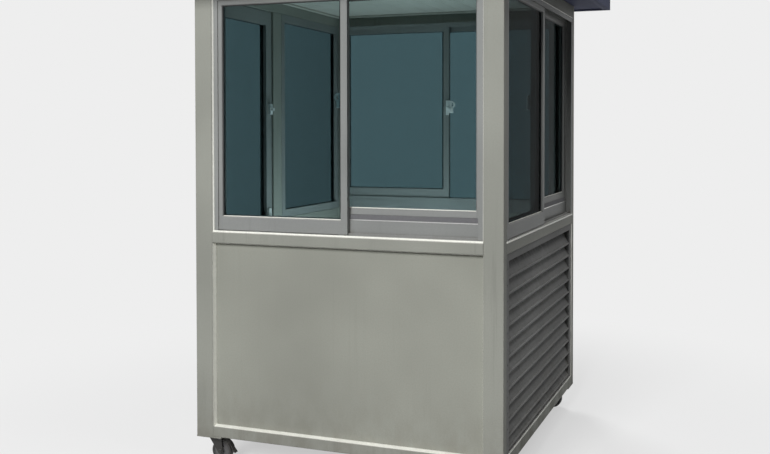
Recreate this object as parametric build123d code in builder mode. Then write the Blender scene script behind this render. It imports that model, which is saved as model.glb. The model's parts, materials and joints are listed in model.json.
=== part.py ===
"""Security guard booth on swivel casters: a painted square-tube frame with sliding aluminium
windows, a louvred lower panel, a half-glazed door and an overhanging flat roof.

Frame: millimetres, +Z up, origin on the floor under the middle of the booth, front facing -Y.
"""

from build123d import *
import os

os.makedirs("parts", exist_ok=True)

# ---- driving dimensions -------------------------------------------------------------
width = 1500            # outside of the steel frame, along X
depth = 1500            # outside of the steel frame, along Y
wall_height = 2140      # frame height, underside of base rails to soffit

post_width = 90         # corner tube, seen from the front
post_depth = 50         # corner tube, seen from the side
rail_size = 50          # square tube of base and sill rails
head_height = 70        # head rail above the windows
tube_radius = 4         # outside corner of the tubes
sill_level = 965        # top of the sill rail above the frame's underside
door_post_width = 90
door_post_from_front = 650   # front edge of the door post behind the booth's front

panel_recess = 25       # wall panel behind the tube faces
panel_thickness = 25
joist_count = 4
joist_width = 40
floor_thickness = 12

wide_recess = 12        # front and rear window frames behind the tube faces
side_recess = 0         # right window frame, flush with the tube faces
light_recess = 12       # fixed light of the left wall
frame_depth = 70
lip = 3                 # thickness of the frame's upright lips
channel_base = 8        # solid base of the jamb and head channels
channel_reach = 18      # how far the lips stand out of that base
inner_step = 62         # how much higher the inner track sits
rib_height = 9
sash_thickness = 26
track_play = 2          # between a sash and the lip beside it
head_play = 2           # between a sash and the base of the head channel
stile_width = 34
sash_rail_width = 63
sash_top_rail = 40
nose_height = 27        # sloped upper part of an inner sash's bottom rail
nose_slope = 5          # how far that slope leans back
rail_rebate = 7         # how far the rest of that rail stands behind it
sash_overlap = 26       # each sash reaches this far past the middle
sash_lift = 11          # underside of the outer sash above the sill
sash_side_clearance = 4
glass_thickness = 5
glass_bite = 8          # glass held in the sash groove
glass_gap = 0.5
light_bevel = 3         # sloped glazing edge round a light
groove_play = 2         # running groove wider than its rib, each side
hook_offset = 4         # interlock walls from the middle of the window
hook_wall = 1.2
hook_reach = 6.5
hook_lip = 5
hook_clearance = 3      # interlock ends short of the divider lips

lock_above_sill = 607   # middle of a crescent lock
lock_plate_width = 18
lock_plate_length = 86
lock_plate_thickness = 3
lock_corner = 3
lock_body = 12          # how far the lock stands out of its plate
crescent_radius = 22
crescent_hollow = 16
crescent_shift = 8
crescent_rise = 21
pivot_radius = 10
thumb_width = 18
thumb_height = 28
thumb_drop = 17
thumb_hold = 3          # overlap of the thumb piece and the plate

blade_count = 12
blade_thickness = 3
louvre_stile = 50
louvre_head = 32
louvre_foot = 12
louvre_depth = 42
louvre_recess = 4
blade_overlap = 14      # how far a blade hangs past the one below
blade_lip = 7           # radius of the rolled lower lip
blade_fold = 8          # upright flange at the top of a blade
blade_inset = 4         # flange in front of the back of the louvre frame

door_gap = 4
door_thickness = 40
door_stile = 55
door_rail = 70
door_sheet = 24
hinge_radius = 8
hinge_length = 90
hinge_from_end = 220    # top and bottom hinges from the ends of the door opening
hinge_leaf = 33         # each way from the pin
hinge_leaf_thickness = 5
rose_width = 30
rose_height = 150
rose_thickness = 6
rose_corner = 8
lever_rise = 20         # lever above the middle of its rose
neck_radius = 8
neck_length = 30
lever_length = 120
lever_height = 18
lever_thickness = 14
lever_tail = 10         # lever past its neck, away from the grip
latch_above_sill = 586  # night latch above the sill rail
latch_width = 24
latch_height = 56
latch_depth = 16
latch_knob_radius = 8
latch_knob_length = 14

roof_overhang = 175
soffit_thickness = 12
fascia_height = 120
fascia_thickness = 20
fascia_drop = 6         # fascia below the soffit
roof_rise = 45          # fall of the hipped roof sheet
roof_flat = 460         # side of the level middle of the roof
roof_sheet_edge = 10

gusset_size = 132
gusset_thickness = 6
caster_inset = 66       # swivel axis from the frame's outer faces
caster_plate = 104
caster_plate_thickness = 4
plate_corner = 10
race_radius = 34
race_height = 8
race_gap = 0.3          # running gap of the swivel bearing
kingpin_radius = 8
kingpin_nut = 13        # across the corners, halved
kingpin_nut_height = 3
pin_clearance = 0.1
wheel_radius = 50
wheel_width = 32
wheel_trail = 35        # axle behind the swivel axis
wheel_gap = 8           # over the wheel, under the fork's crown
tread_depth = 10
tread_corner = 3
hub_radius = 15
wheel_recess = 6        # hollow between hub and tread, each side
fork_gap = 5            # between wheel and fork cheek
fork_sheet = 4
fork_crown = 4
fork_front = 22         # crown ahead of the swivel axis
fork_back = 40          # crown behind it
fork_eye = 13
axle_radius = 5
axle_clearance = 0.08
axle_head = 9
axle_head_length = 4
pedal_gap = 6           # brake pedal over the tread
pedal_sheet = 3
pedal_width = 24
pedal_start = 100       # degrees round the axle, from level
pedal_end = 14
pedal_tip = 26          # flared end of the pedal
pedal_flare = -65       # degrees from the end of the band to the tip

# ---- derived places -----------------------------------------------------------------
axle_height = wheel_radius
crown_bottom = 2 * wheel_radius + wheel_gap
crown_top = crown_bottom + fork_crown
plate_bottom = crown_top + race_height
base_height = plate_bottom + caster_plate_thickness + gusset_thickness
half_w = width / 2
half_d = depth / 2
rail_top = base_height + rail_size
sill_top = base_height + sill_level
sill_bottom = sill_top - rail_size
wall_top = base_height + wall_height
head_bottom = wall_top - head_height
front_opening = half_w - post_width     # half the clear width of front and rear
side_opening = half_d - post_depth      # half the clear width of the sides
door_post_front = -half_d + door_post_from_front
door_post_rear = door_post_front + door_post_width
lock_level = sill_top + lock_above_sill
UP = Vector(0, 0, 1)


def wall(angle):
    """Outer face plane of one wall: local x runs along it, local y is up, z points out."""
    reach = half_d if angle % 180 == 0 else half_w
    outward = Vector(0, -1, 0).rotate(Axis.Z, angle)
    along = Vector(1, 0, 0).rotate(Axis.Z, angle)
    return Plane(origin=outward * reach, x_dir=along, z_dir=outward)


FRONT, RIGHT, REAR, LEFT = wall(0), wall(90), wall(180), wall(270)
# wall, half opening, recess of the frame, and which way the inner sash lies (1: local +x)
WINDOWS = {
    "front": (FRONT, front_opening, wide_recess, 1),
    "rear": (REAR, front_opening, wide_recess, 1),
    "right": (RIGHT, side_opening, side_recess, 1),
}


def section(face, along):
    """Plane across a wall: local x is depth into the wall, local y is up."""
    return Plane(origin=face.from_local_coords((along, 0, 0)), x_dir=-face.z_dir, z_dir=face.x_dir)


def level(face, height):
    """Level plane at a wall: local x runs along it, local y is depth into the wall."""
    return Plane(origin=face.from_local_coords((0, height, 0)), x_dir=face.x_dir, z_dir=UP)


def save(part, name):
    part.part.label = name
    export_step(part.part, f"parts/{name}.step")


def tube_section(plane, x, y, size_x, size_y):
    """Outline of one tube with rounded corners, centred at (x, y) of a plane."""
    with BuildSketch(plane) as outline:
        with Locations((x, y)):
            RectangleRounded(size_x, size_y, tube_radius)
    return outline.sketch


# ---- steel frame --------------------------------------------------------------------
def corner_posts():
    with BuildPart() as posts:
        with BuildSketch(Plane.XY.offset(base_height)):
            with GridLocations(width - post_width, depth - post_depth, 2, 2):
                RectangleRounded(post_width, post_depth, tube_radius)
        extrude(amount=wall_height)
    save(posts, "corner_posts")


def rail(face, start, end, bottom, height):
    """A tube along a wall, from start to end, its underside at bottom."""
    outline = tube_section(section(face, start), rail_size / 2, bottom + height / 2, rail_size, height)
    extrude(outline, amount=end - start)


def bottom_rails():
    with BuildPart() as rails:
        for face in (FRONT, REAR):
            rail(face, -front_opening, front_opening, base_height, rail_size)
        for face in (RIGHT, LEFT):
            rail(face, -side_opening, side_opening, base_height, rail_size)
    save(rails, "bottom_rails")


def sill_rails():
    with BuildPart() as rails:
        for face in (FRONT, REAR):
            rail(face, -front_opening, front_opening, sill_bottom, rail_size)
        rail(RIGHT, -side_opening, side_opening, sill_bottom, rail_size)
        rail(LEFT, -side_opening, -door_post_rear, sill_bottom, rail_size)
    save(rails, "sill_rails")


def head_rails():
    with BuildPart() as rails:
        for face in (FRONT, REAR):
            rail(face, -front_opening, front_opening, head_bottom, head_height)
        for face in (RIGHT, LEFT):
            rail(face, -side_opening, side_opening, head_bottom, head_height)
    save(rails, "head_rails")


def door_post():
    with BuildPart() as post:
        middle = -(door_post_front + door_post_rear) / 2
        outline = tube_section(level(LEFT, rail_top), middle, rail_size / 2, door_post_width, rail_size)
        extrude(outline, amount=head_bottom - rail_top)
    save(post, "door_post")


def floor():
    joist_height = rail_size - floor_thickness
    span = depth - 2 * rail_size
    with BuildPart() as joists:
        with BuildSketch(Plane.XY.offset(base_height)):
            with GridLocations((width - 2 * rail_size - joist_width) / (joist_count - 1), 1, joist_count, 1):
                Rectangle(joist_width, span)
        extrude(amount=joist_height)
        with BuildSketch(Plane.XY.offset(base_height)):
            with GridLocations(width - post_width, depth - post_depth, 2, 2):
                Rectangle(post_width, post_depth)
        extrude(amount=joist_height, mode=Mode.SUBTRACT)
    save(joists, "floor_joists")
    with BuildPart() as plate:
        with BuildSketch(Plane.XY.offset(rail_top - floor_thickness)):
            Rectangle(width - 2 * rail_size, span)
            with GridLocations(width - post_width, depth - post_depth, 2, 2):
                Rectangle(post_width, post_depth, mode=Mode.SUBTRACT)
        extrude(amount=floor_thickness)
    save(plate, "floor_plate")


# ---- wall panels --------------------------------------------------------------------
def wall_panel(name, face, start, end):
    with BuildPart() as panel:
        with BuildSketch(face.offset(-panel_recess)):
            with Locations(((start + end) / 2, (rail_top + sill_bottom) / 2)):
                Rectangle(end - start, sill_bottom - rail_top)
        extrude(amount=-panel_thickness)
    save(panel, name)


# ---- louvre panel -------------------------------------------------------------------
blade_field_top = sill_bottom - louvre_head
blade_field_bottom = rail_top + louvre_foot
blade_pitch = (blade_field_top - blade_field_bottom) / blade_count
louvre_back = louvre_recess + louvre_depth


def louvre_frame():
    with BuildPart() as frame:
        with BuildSketch(RIGHT.offset(-louvre_recess)):
            with Locations((0, (rail_top + sill_bottom) / 2)):
                Rectangle(2 * side_opening, sill_bottom - rail_top)
            with Locations((0, (blade_field_top + blade_field_bottom) / 2)):
                Rectangle(2 * (side_opening - louvre_stile), blade_field_top - blade_field_bottom,
                          mode=Mode.SUBTRACT)
        extrude(amount=-louvre_depth)
    save(frame, "louvre_frame")


def louvre_blades():
    """Slats that slope down and out, each ending in a rolled lip over the next one."""
    half_length = side_opening - louvre_stile
    outer = louvre_recess + blade_lip + 1
    inner = louvre_back - blade_inset
    with BuildPart() as blades:
        for row in range(blade_count):
            top = blade_field_top - row * blade_pitch
            hang = blade_pitch + blade_overlap if row < blade_count - 1 else blade_pitch
            low = top - hang + blade_lip
            with BuildSketch(section(RIGHT, -half_length)):
                with BuildLine():
                    Polyline((inner, top), (inner, top - blade_fold), (outer, low + blade_lip))
                    CenterArc((outer, low), blade_lip, 90, 180)
                    offset(amount=blade_thickness, side=Side.LEFT)
                make_face()
            extrude(amount=2 * half_length)
    save(blades, "louvre_blades")


# ---- windows ------------------------------------------------------------------------
def outer_track(recess):
    """Depth of the middle of the outer sash behind the tube faces."""
    return recess + lip + track_play + sash_thickness / 2


def inner_track(recess):
    return recess + frame_depth - lip - track_play - sash_thickness / 2


def lip_depths(recess):
    """Middles of the three upright lips of a channel: outer, divider, inner."""
    return recess + lip / 2, recess + frame_depth / 2, recess + frame_depth - lip / 2


step_low = sill_top + channel_base
step_high = sill_top + inner_step
step_lip = step_high + channel_reach - lip


def sill_section(plane, recess):
    """Stepped two-track sill: the inner track stands one step above the outer one."""
    back = recess + frame_depth
    divider = recess + frame_depth / 2
    with BuildSketch(plane) as outline:
        with BuildLine():
            Polyline(
                (recess, sill_top),
                (back, sill_top),
                (back, step_lip),
                (back - lip, step_lip),
                (back - lip, step_high),
                (divider + lip / 2, step_high),
                (divider + lip / 2, step_lip),
                (divider - lip / 2, step_lip),
                (divider - lip / 2, step_low),
                (recess, step_low),
                close=True,
            )
        make_face()
        for track, base in ((outer_track(recess), step_low), (inner_track(recess), step_high)):
            with Locations((track, base + rib_height / 2)):
                Rectangle(lip, rib_height)
    return outline.sketch


def window_frame(name, face, half_opening, recess):
    """Outer frame: stepped sill below, three-lipped channels at the sides and the head."""
    bar = channel_base + channel_reach
    with BuildPart() as frame:
        extrude(sill_section(section(face, -half_opening), recess), amount=2 * half_opening)
        with BuildSketch(section(face, -half_opening)):
            with Locations((recess + frame_depth / 2, head_bottom - channel_base / 2)):
                Rectangle(frame_depth, channel_base)
            for d in lip_depths(recess):
                with Locations((d, head_bottom - bar / 2)):
                    Rectangle(lip, bar)
        extrude(amount=2 * half_opening)
        with BuildSketch(level(face, sill_top)):
            for side in (-1, 1):
                with Locations((side * (half_opening - channel_base / 2), recess + frame_depth / 2)):
                    Rectangle(channel_base, frame_depth)
                for d in lip_depths(recess):
                    with Locations((side * (half_opening - bar / 2), d)):
                        Rectangle(bar, lip)
        extrude(amount=head_bottom - sill_top)
    save(frame, name)


def interlock(face, start, out, inward):
    """Hook on a meeting stile that passes behind the other sash's hook; out and inward are 1 or -1."""
    wall_near, wall_far = out * hook_offset, out * (hook_offset + hook_wall)
    tip = out * (hook_offset - hook_lip)
    end = start + inward * hook_reach
    with BuildSketch(level(face, step_lip + hook_clearance)) as outline:
        with BuildLine():
            Polyline(
                (wall_near, start),
                (wall_far, start),
                (wall_far, end),
                (tip, end),
                (tip, end - inward * hook_wall),
                (wall_near, end - inward * hook_wall),
                close=True,
            )
        make_face()
    return outline.sketch


def nose_cut(plane, front, bottom, top):
    """Wedge that leans the upper part of a bottom rail back towards the glass."""
    with BuildSketch(plane) as outline:
        with BuildLine():
            Polyline((front, bottom), (front, top), (front + nose_slope, top), close=True)
        make_face()
    return outline.sketch


def sash(name, face, ends, bottom, track, hand, inward):
    """One sliding sash: an aluminium ring with a bevelled light, a glazing groove, a running groove
    and an interlock. inward is 1 on the outer sash, whose interlock points to the room; the inner
    sash's bottom rail has a sloped nose over a rebate."""
    left, right = ends
    top = head_bottom - channel_base - head_play
    front_depth = track - sash_thickness / 2
    middle = (left + right) / 2
    light_bottom, light_top = bottom + sash_rail_width, top - sash_top_rail
    light_width, light_height = right - left - 2 * stile_width, light_top - light_bottom
    light_middle = (light_bottom + light_top) / 2
    groove_top = bottom + (step_low + rib_height - sill_top - sash_lift)
    hook_top = head_bottom - channel_base - channel_reach - hook_clearance
    with BuildPart() as ring:
        with BuildSketch(face.offset(-front_depth)):
            with Locations((middle, (bottom + top) / 2)):
                Rectangle(right - left, top - bottom)
        extrude(amount=-sash_thickness)
        with BuildSketch(face.offset(-front_depth)):
            with Locations((middle, light_middle)):
                Rectangle(light_width, light_height)
        extrude(amount=-sash_thickness, mode=Mode.SUBTRACT)
        outside = ring.faces().sort_by(Axis(face.origin, face.z_dir))[-1]
        chamfer(outside.inner_wires()[0].edges(), light_bevel)
        with BuildSketch(face.offset(-(track - glass_thickness / 2 - glass_gap))):
            with Locations((middle, light_middle)):
                Rectangle(light_width + 2 * glass_bite, light_height + 2 * glass_bite)
        extrude(amount=-(glass_thickness + 2 * glass_gap), mode=Mode.SUBTRACT)
        with BuildSketch(section(face, left)):
            with Locations((track, bottom)):
                Rectangle(lip + 2 * groove_play, 2 * (groove_top - bottom))
        extrude(amount=right - left, mode=Mode.SUBTRACT)
        if inward < 0:
            nose_bottom = light_bottom - nose_height
            with BuildSketch(section(face, left)):
                with Locations((front_depth + rail_rebate / 2, (bottom + nose_bottom) / 2)):
                    Rectangle(rail_rebate, nose_bottom - bottom)
            extrude(amount=right - left, mode=Mode.SUBTRACT)
            extrude(nose_cut(section(face, left + stile_width), front_depth, nose_bottom, light_bottom),
                    amount=light_width, mode=Mode.SUBTRACT)
        hook = interlock(face, track + inward * sash_thickness / 2, hand * inward, inward)
        extrude(hook, amount=hook_top - step_lip - hook_clearance)
    save(ring, name)
    return middle, light_middle, light_width, light_height


def window(name, face, half_opening, recess, hand):
    """A two-track sliding window: frame, two sashes and their glass."""
    window_frame(f"{name}_window_frame", face, half_opening, recess)
    edge = half_opening - channel_base - sash_side_clearance
    outer = sorted((-hand * edge, hand * sash_overlap))
    inner = sorted((-hand * sash_overlap, hand * edge))
    low = sill_top + sash_lift
    high = low + inner_step - channel_base
    out_track, in_track = outer_track(recess), inner_track(recess)
    lights = [
        (out_track, sash(f"{name}_outer_sash", face, outer, low, out_track, hand, 1)),
        (in_track, sash(f"{name}_inner_sash", face, inner, high, in_track, hand, -1)),
    ]
    with BuildPart() as panes:
        for track, light in lights:
            extrude(glass_outline(face, track, *light), amount=-glass_thickness)
    save(panes, f"{name}_glass")


def glass_outline(face, track, middle, centre, light_width, light_height):
    """Pane that reaches into the groove round a light; extrude it by -glass_thickness."""
    grip = 2 * (glass_bite - glass_gap)
    with BuildSketch(face.offset(-(track - glass_thickness / 2))) as outline:
        with Locations((middle, centre)):
            Rectangle(light_width + grip, light_height + grip)
    return outline.sketch


def window_locks():
    """Crescent locks on the room side of the inner sashes' meeting stiles: a plate, the crescent on
    its pivot and a thumb piece that stands out past the stile."""
    with BuildPart() as locks:
        for face, _, recess, hand in WINDOWS.values():
            back = face.offset(-(inner_track(recess) + sash_thickness / 2))
            edge = -hand * sash_overlap
            plate_middle = edge + hand * lock_plate_width / 2
            with BuildSketch(back):
                with Locations((plate_middle, lock_level)):
                    RectangleRounded(lock_plate_width, lock_plate_length, lock_corner)
            extrude(amount=-lock_plate_thickness)
            with BuildSketch(back.offset(-lock_plate_thickness)):
                with Locations((edge, lock_level + crescent_rise)):
                    Circle(crescent_radius)
                with Locations((edge + hand * crescent_shift, lock_level + crescent_rise)):
                    Circle(crescent_hollow, mode=Mode.SUBTRACT)
                with Locations((edge + hand * thumb_hold, lock_level + crescent_rise)):
                    Circle(pivot_radius)
            extrude(amount=-lock_body / 2)
            with BuildSketch(back.offset(-lock_plate_thickness)):
                with Locations((edge - hand * (thumb_width / 2 - thumb_hold), lock_level - thumb_drop)):
                    RectangleRounded(thumb_width, thumb_height, lock_corner)
            extrude(amount=-lock_body)
    save(locks, "window_locks")


# ---- left side: fixed light behind the door post, door in front of it ------------------
def left_window():
    pane_depth = outer_track(light_recess)
    start, end = -side_opening, -door_post_rear
    middle, centre = (start + end) / 2, (sill_top + head_bottom) / 2
    span, height = end - start, head_bottom - sill_top
    with BuildPart() as frame:
        with BuildSketch(LEFT.offset(-light_recess)):
            with Locations((middle, centre)):
                Rectangle(span, height)
                Rectangle(span - 2 * stile_width, height - 2 * sash_top_rail, mode=Mode.SUBTRACT)
        extrude(amount=-(rail_size - light_recess))
        with BuildSketch(LEFT.offset(-(pane_depth - glass_thickness / 2 - glass_gap))):
            with Locations((middle, centre)):
                Rectangle(span - 2 * stile_width + 2 * glass_bite, height - 2 * sash_top_rail + 2 * glass_bite)
        extrude(amount=-(glass_thickness + 2 * glass_gap), mode=Mode.SUBTRACT)
    save(frame, "left_window_frame")
    with BuildPart() as pane:
        outline = glass_outline(LEFT, pane_depth, middle, centre, span - 2 * stile_width,
                                height - 2 * sash_top_rail)
        extrude(outline, amount=-glass_thickness)
    save(pane, "left_glass")


def door():
    start = -door_post_front + door_gap
    end = side_opening - door_gap
    bottom, top = rail_top + door_gap, head_bottom - door_gap
    middle, centre = (start + end) / 2, (bottom + top) / 2
    inner_width = end - start - 2 * door_stile
    mid_rail_bottom = sill_bottom
    light_bottom, light_top = mid_rail_bottom + door_rail, top - door_rail
    low_bottom, low_top = bottom + door_rail, mid_rail_bottom
    track = door_thickness / 2
    with BuildPart() as leaf:
        with BuildSketch(LEFT):
            with Locations((middle, centre)):
                Rectangle(end - start, top - bottom)
            with Locations((middle, (light_bottom + light_top) / 2)):
                Rectangle(inner_width, light_top - light_bottom, mode=Mode.SUBTRACT)
            with Locations((middle, (low_bottom + low_top) / 2)):
                Rectangle(inner_width, low_top - low_bottom, mode=Mode.SUBTRACT)
        extrude(amount=-door_thickness)
        outside = leaf.faces().sort_by(Axis(LEFT.origin, LEFT.z_dir))[-1]
        chamfer([edge for wire in outside.inner_wires() for edge in wire.edges()], light_bevel)
        with BuildSketch(LEFT.offset(-(track - glass_thickness / 2 - glass_gap))):
            with Locations((middle, (light_bottom + light_top) / 2)):
                Rectangle(inner_width + 2 * glass_bite, light_top - light_bottom + 2 * glass_bite)
        extrude(amount=-(glass_thickness + 2 * glass_gap), mode=Mode.SUBTRACT)
    save(leaf, "door_leaf")
    with BuildPart() as pane:
        outline = glass_outline(LEFT, track, middle, (light_bottom + light_top) / 2, inner_width,
                                light_top - light_bottom)
        extrude(outline, amount=-glass_thickness)
    save(pane, "door_glass")
    with BuildPart() as sheet:
        with BuildSketch(LEFT.offset(-(track - door_sheet / 2))):
            with Locations((middle, (low_bottom + low_top) / 2)):
                Rectangle(inner_width, low_top - low_bottom)
        extrude(amount=-door_sheet)
    save(sheet, "door_panel")


def door_hinges():
    """Butt hinges between the corner post and the leaf, pins outside the wall face."""
    knuckle_at = side_opening - door_gap / 2
    top_hinge = head_bottom - hinge_from_end - hinge_length
    bottom_hinge = rail_top + hinge_from_end
    with BuildPart() as hinges:
        for height in (bottom_hinge, (bottom_hinge + top_hinge) / 2, top_hinge):
            with BuildSketch(level(LEFT, height)):
                with Locations((knuckle_at, -hinge_radius)):
                    Circle(hinge_radius)
                with Locations((knuckle_at, 0)):
                    Rectangle(2 * hinge_leaf, hinge_leaf_thickness, align=(Align.CENTER, Align.MAX))
            extrude(amount=hinge_length)
    save(hinges, "door_hinges")


def door_handle():
    """Lever handles on both faces of the leaf, and a night latch higher up on the inner face."""
    handle_at = -door_post_front + door_gap + door_stile / 2
    handle_height = sill_bottom + door_rail / 2
    lever_level = handle_height + lever_rise
    grip_middle = handle_at + lever_length / 2 - lever_tail
    with BuildPart() as handle:
        for face, out in ((LEFT, 1), (LEFT.offset(-door_thickness), -1)):
            with BuildSketch(face):
                with Locations((handle_at, handle_height)):
                    RectangleRounded(rose_width, rose_height, rose_corner)
            extrude(amount=out * rose_thickness)
            with BuildSketch(face):
                with Locations((handle_at, lever_level)):
                    Circle(neck_radius)
            extrude(amount=out * (rose_thickness + neck_length))
            with BuildSketch(face.offset(out * (rose_thickness + neck_length - lever_thickness))):
                with Locations((grip_middle, lever_level)):
                    RectangleRounded(lever_length, lever_height, lever_height / 2 - 1)
            extrude(amount=out * lever_thickness)
        latch_face = LEFT.offset(-door_thickness)
        latch_level = sill_top + latch_above_sill
        with BuildSketch(latch_face):
            with Locations((handle_at, latch_level)):
                Rectangle(latch_width, latch_height)
        extrude(amount=-latch_depth)
        with BuildSketch(latch_face):
            with Locations((handle_at, latch_level)):
                Circle(latch_knob_radius)
        extrude(amount=-(latch_depth + latch_knob_length))
    save(handle, "door_handle")


# ---- roof ---------------------------------------------------------------------------
def roof():
    out_w, out_d = width + 2 * roof_overhang, depth + 2 * roof_overhang
    in_w, in_d = out_w - 2 * fascia_thickness, out_d - 2 * fascia_thickness
    with BuildPart() as soffit:
        with BuildSketch(Plane.XY.offset(wall_top)):
            Rectangle(in_w, in_d)
        extrude(amount=soffit_thickness)
    save(soffit, "roof_soffit")
    with BuildPart() as fascia:
        with BuildSketch(Plane.XY.offset(wall_top - fascia_drop)):
            Rectangle(out_w, out_d)
            Rectangle(in_w, in_d, mode=Mode.SUBTRACT)
        extrude(amount=fascia_height)
    save(fascia, "roof_fascia")
    fascia_top = wall_top - fascia_drop + fascia_height
    flat_w = roof_flat + out_w - out_d
    run_w, run_d = (out_w - flat_w) / 2, (out_d - roof_flat) / 2
    with BuildPart() as deck:
        with BuildSketch(Plane.XY.offset(fascia_top)):
            Rectangle(out_w, out_d)
        extrude(amount=roof_sheet_edge)
        with Locations(Location((0, 0, fascia_top + roof_sheet_edge + roof_rise / 2), (90, 0, 0))):
            Wedge(out_w, roof_rise, out_d, run_w, run_d, out_w - run_w, out_d - run_d)
    save(deck, "roof_deck")


# ---- casters ------------------------------------------------------------------------
CORNERS = {
    "front_left": (-1, -1),
    "front_right": (1, -1),
    "rear_left": (-1, 1),
    "rear_right": (1, 1),
}
CASTERS = {
    name: (sx * (half_w - caster_inset), sy * (half_d - caster_inset)) for name, (sx, sy) in CORNERS.items()
}


def caster_mounts():
    """Gussets under the frame's corners, and the fixed half of each caster: top plate, race and kingpin."""
    with BuildPart() as gussets:
        with BuildSketch(Plane.XY.offset(base_height - gusset_thickness)):
            with GridLocations(width - gusset_size, depth - gusset_size, 2, 2):
                Rectangle(gusset_size, gusset_size)
        extrude(amount=gusset_thickness)
    save(gussets, "caster_gussets")
    with BuildPart() as plates:
        with BuildSketch(Plane.XY.offset(plate_bottom)) as outline:
            with Locations(*CASTERS.values()):
                Rectangle(caster_plate, caster_plate)
            chamfer(outline.vertices(), plate_corner)
        extrude(amount=caster_plate_thickness)
        with BuildSketch(Plane.XY.offset(crown_top + race_gap)):
            with Locations(*CASTERS.values()):
                Circle(race_radius)
        extrude(amount=race_height - race_gap)
        with BuildSketch(Plane.XY.offset(crown_bottom - race_gap - kingpin_nut_height)):
            with Locations(*CASTERS.values()):
                RegularPolygon(kingpin_nut, 6)
        extrude(amount=kingpin_nut_height)
        with BuildSketch(Plane.XY.offset(crown_bottom - race_gap)):
            with Locations(*CASTERS.values()):
                Circle(kingpin_radius)
        extrude(amount=fork_crown + 2 * race_gap)
    save(plates, "caster_plates")


def brake_pedal(plane):
    """Side view of the pedal: a band round the tread that ends in a flared tip."""
    inner = wheel_radius + pedal_gap
    with BuildSketch(plane) as outline:
        with BuildLine():
            band = CenterArc((wheel_trail, axle_height), inner, pedal_start, pedal_end - pedal_start)
            PolarLine(band @ 1, pedal_tip, pedal_end + pedal_flare)
            offset(amount=pedal_sheet, side=Side.LEFT)
        make_face()
    return outline.sketch


def wheel_section(plane):
    """Half section of a wheel: local x is the radius, local y runs along the axle."""
    side = wheel_width / 2
    web = side - wheel_recess
    rim = wheel_radius - tread_depth
    upper = [
        (axle_radius + axle_clearance, side),
        (hub_radius, side),
        (rim, web),
        (rim, side),
        (wheel_radius - tread_corner, side),
        (wheel_radius, side - tread_corner),
    ]
    with BuildSketch(plane) as outline:
        with BuildLine():
            Polyline(*upper, *[(radius, -along) for radius, along in reversed(upper)], close=True)
        make_face()
    return outline.sketch


def caster(name, x, y):
    """Swivel fork with its axle and brake pedal, and the wheel that turns on it; it trails inward."""
    trail = -1 if x > 0 else 1
    inside = wheel_width / 2 + fork_gap
    outside = inside + fork_sheet
    side_view = Plane(origin=(x, y, 0), x_dir=(trail, 0, 0), z_dir=(0, -trail, 0))
    with BuildPart() as fork:
        with BuildSketch(Plane(origin=(x, y, crown_bottom), x_dir=(trail, 0, 0), z_dir=UP)):
            Circle(race_radius)
            with Locations(((fork_back - fork_front) / 2, 0)):
                Rectangle(fork_back + fork_front, 2 * outside)
            Circle(kingpin_radius + pin_clearance, mode=Mode.SUBTRACT)
        extrude(amount=fork_crown)
        for cheek in (-outside, inside):
            with BuildSketch(side_view.offset(cheek)):
                with Locations(((fork_back - fork_front) / 2, crown_bottom + fork_crown / 2)):
                    Rectangle(fork_back + fork_front, fork_crown)
                with Locations((wheel_trail, axle_height)):
                    Circle(fork_eye)
                make_hull()
            extrude(amount=fork_sheet)
        with BuildSketch(side_view.offset(-outside)):
            with Locations((wheel_trail, axle_height)):
                Circle(axle_radius)
        extrude(amount=2 * outside)
        for head in (-outside - axle_head_length, outside):
            with BuildSketch(side_view.offset(head)):
                with Locations((wheel_trail, axle_height)):
                    RegularPolygon(axle_head, 6)
            extrude(amount=axle_head_length)
        extrude(brake_pedal(side_view), amount=pedal_width / 2, both=True)
    save(fork, f"caster_fork_{name}")
    axle = Vector(x + trail * wheel_trail, y, axle_height)
    with BuildPart() as wheel:
        section_plane = Plane(origin=axle, x_dir=(1, 0, 0), z_dir=UP)
        revolve(wheel_section(section_plane), axis=Axis(axle, (0, 1, 0)))
    save(wheel, f"caster_wheel_{name}")


corner_posts()
bottom_rails()
sill_rails()
head_rails()
door_post()
floor()
wall_panel("front_panel", FRONT, -front_opening, front_opening)
wall_panel("rear_panel", REAR, -front_opening, front_opening)
wall_panel("left_panel", LEFT, -side_opening, -door_post_rear)
louvre_frame()
louvre_blades()
for side, (plane, half_opening, recess, hand) in WINDOWS.items():
    window(side, plane, half_opening, recess, hand)
window_locks()
left_window()
door()
door_hinges()
door_handle()
roof()
caster_mounts()
for corner, (cx, cy) in CASTERS.items():
    caster(corner, cx, cy)
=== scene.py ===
import json
import math
from contextlib import contextmanager

import bpy
from mathutils import Matrix, Vector


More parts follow.
